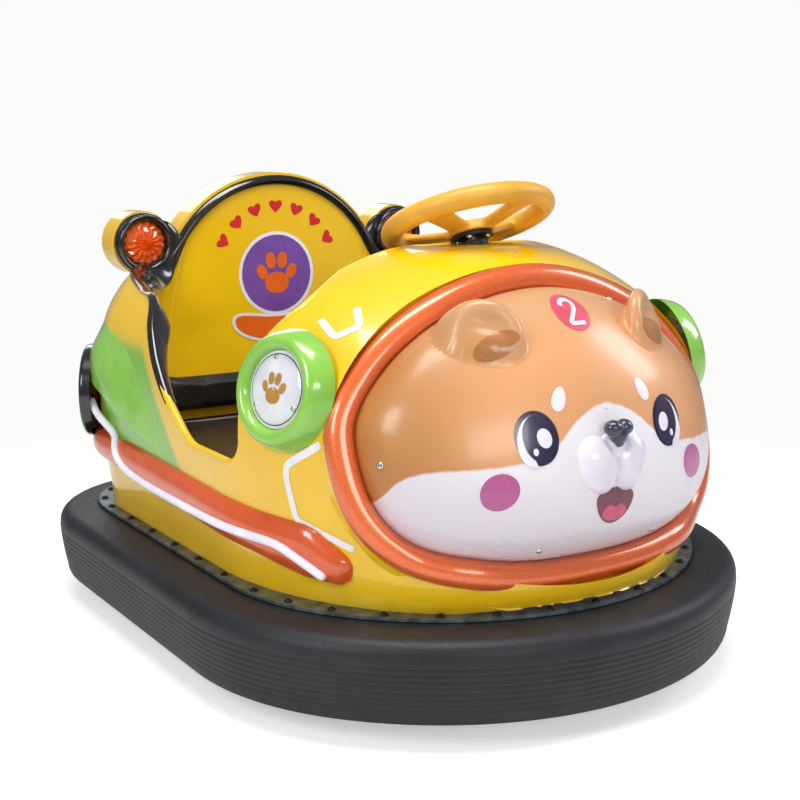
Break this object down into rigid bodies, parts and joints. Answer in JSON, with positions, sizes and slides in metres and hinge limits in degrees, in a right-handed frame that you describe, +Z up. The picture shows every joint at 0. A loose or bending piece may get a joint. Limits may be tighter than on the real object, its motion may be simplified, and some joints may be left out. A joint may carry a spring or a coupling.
{
  "type": "electric bumper car",
  "caption": "Battery bumper car for one rider: rubber bumper ring, glass-fibre tub with an animal-face nose, high backrest, bench seat, steering wheel and steered front drive wheel.",
  "frame": {"origin": "on the floor below the middle of the bumper ring", "axes": "+Z up, the car's front is -Y, the car's left is +X"},
  "size_m": [1.1442, 1.4542, 0.909],
  "materials": {
    "bumper_rubber": "ribbed black rubber",
    "black_steel": "black painted steel",
    "grey_steel": "grey painted steel sheet",
    "bare_steel": "turned steel",
    "battery": "black battery case",
    "yellow_shell": "glossy yellow gelcoat on glass fibre",
    "black_gloss": "glossy black gelcoat",
    "orange_gloss": "glossy orange paint",
    "face_paint": "sprayed satin face paint",
    "white_gloss": "glossy white paint",
    "black_vinyl": "black vinyl leathercloth",
    "wheel_foam": "amber moulded polyurethane foam",
    "tyre_rubber": "black solid tyre",
    "hub_alloy": "cast alloy hub",
    "pedal_rubber": "black rubber pedal",
    "amber_lens": "amber faceted lens",
    "light_tube": "milky silicone light tube",
    "red_lens": "dark red faceted lens",
    "green_gloss": "glossy light green paint"
  },
  "bodies": {
    "body": {"bumper_ring": "bumper_rubber", "flange_plate": "black_steel", "chassis_frame": "black_steel", "floor_pan": "grey_steel", "battery_box": "battery", "body_tub": "yellow_shell", "front_hood": "yellow_shell", "backrest_shell": "yellow_shell", "backrest_trim": "black_gloss", "face_ring": "orange_gloss", "face_dome": "face_paint", "muzzle": "white_gloss", "nose": "black_gloss", "seat_cushion": "black_vinyl", "seat_back": "black_vinyl", "column_housing": "black_steel", "pedal": "pedal_rubber", "lamp_bezel_right": "black_gloss", "lamp_lens_right": "amber_lens", "side_pod_right": "orange_gloss", "light_tube_right": "light_tube", "tail_bezel_right": "black_gloss", "tail_lens_right": "red_lens", "haunch_right": "green_gloss", "roundel_right": "green_gloss", "roundel_disc_right": "white_gloss", "lamp_bezel_left": "black_gloss", "lamp_lens_left": "amber_lens", "side_pod_left": "orange_gloss", "light_tube_left": "light_tube", "tail_bezel_left": "black_gloss", "tail_lens_left": "red_lens", "haunch_left": "green_gloss", "roundel_left": "green_gloss", "roundel_disc_left": "white_gloss"},
    "steering": {"steering_wheel": "wheel_foam", "hub_plate": "black_steel", "steering_shaft": "bare_steel"},
    "fork": {"steering_fork": "black_steel"},
    "front_wheel": {"front_wheel_tyre": "tyre_rubber", "front_wheel_hub": "hub_alloy"},
    "rear_wheel_right": {"rear_wheel_right_tyre": "tyre_rubber", "rear_wheel_right_hub": "hub_alloy"},
    "rear_wheel_left": {"rear_wheel_left_tyre": "tyre_rubber", "rear_wheel_left_hub": "hub_alloy"}
  },
  "joints": [
    {"name": "wheel_turn", "type": "hinge", "parent": "body", "child": "steering", "pos_m": [0, -0.252, 0.806], "axis": [0, 0.3746, 0.9272], "range_deg": [-180, 180]},
    {"name": "fork_turn", "type": "hinge", "parent": "body", "child": "fork", "pos_m": [0, -0.44, 0.2], "axis": [0, 0, 1], "range_deg": [-180, 180]},
    {"name": "front_roll", "type": "hinge", "parent": "fork", "child": "front_wheel", "pos_m": [0, -0.44, 0.1], "axis": [1, 0, 0], "continuous": true},
    {"name": "rear_roll_right", "type": "hinge", "parent": "body", "child": "rear_wheel_right", "pos_m": [-0.32, 0.4, 0.052], "axis": [1, 0, 0], "continuous": true},
    {"name": "rear_roll_left", "type": "hinge", "parent": "body", "child": "rear_wheel_left", "pos_m": [0.32, 0.4, 0.052], "axis": [1, 0, 0], "continuous": true}
  ],
  "couplings": [
    {"joint": "fork_turn", "follows": "wheel_turn", "ratio": 1}
  ]
}
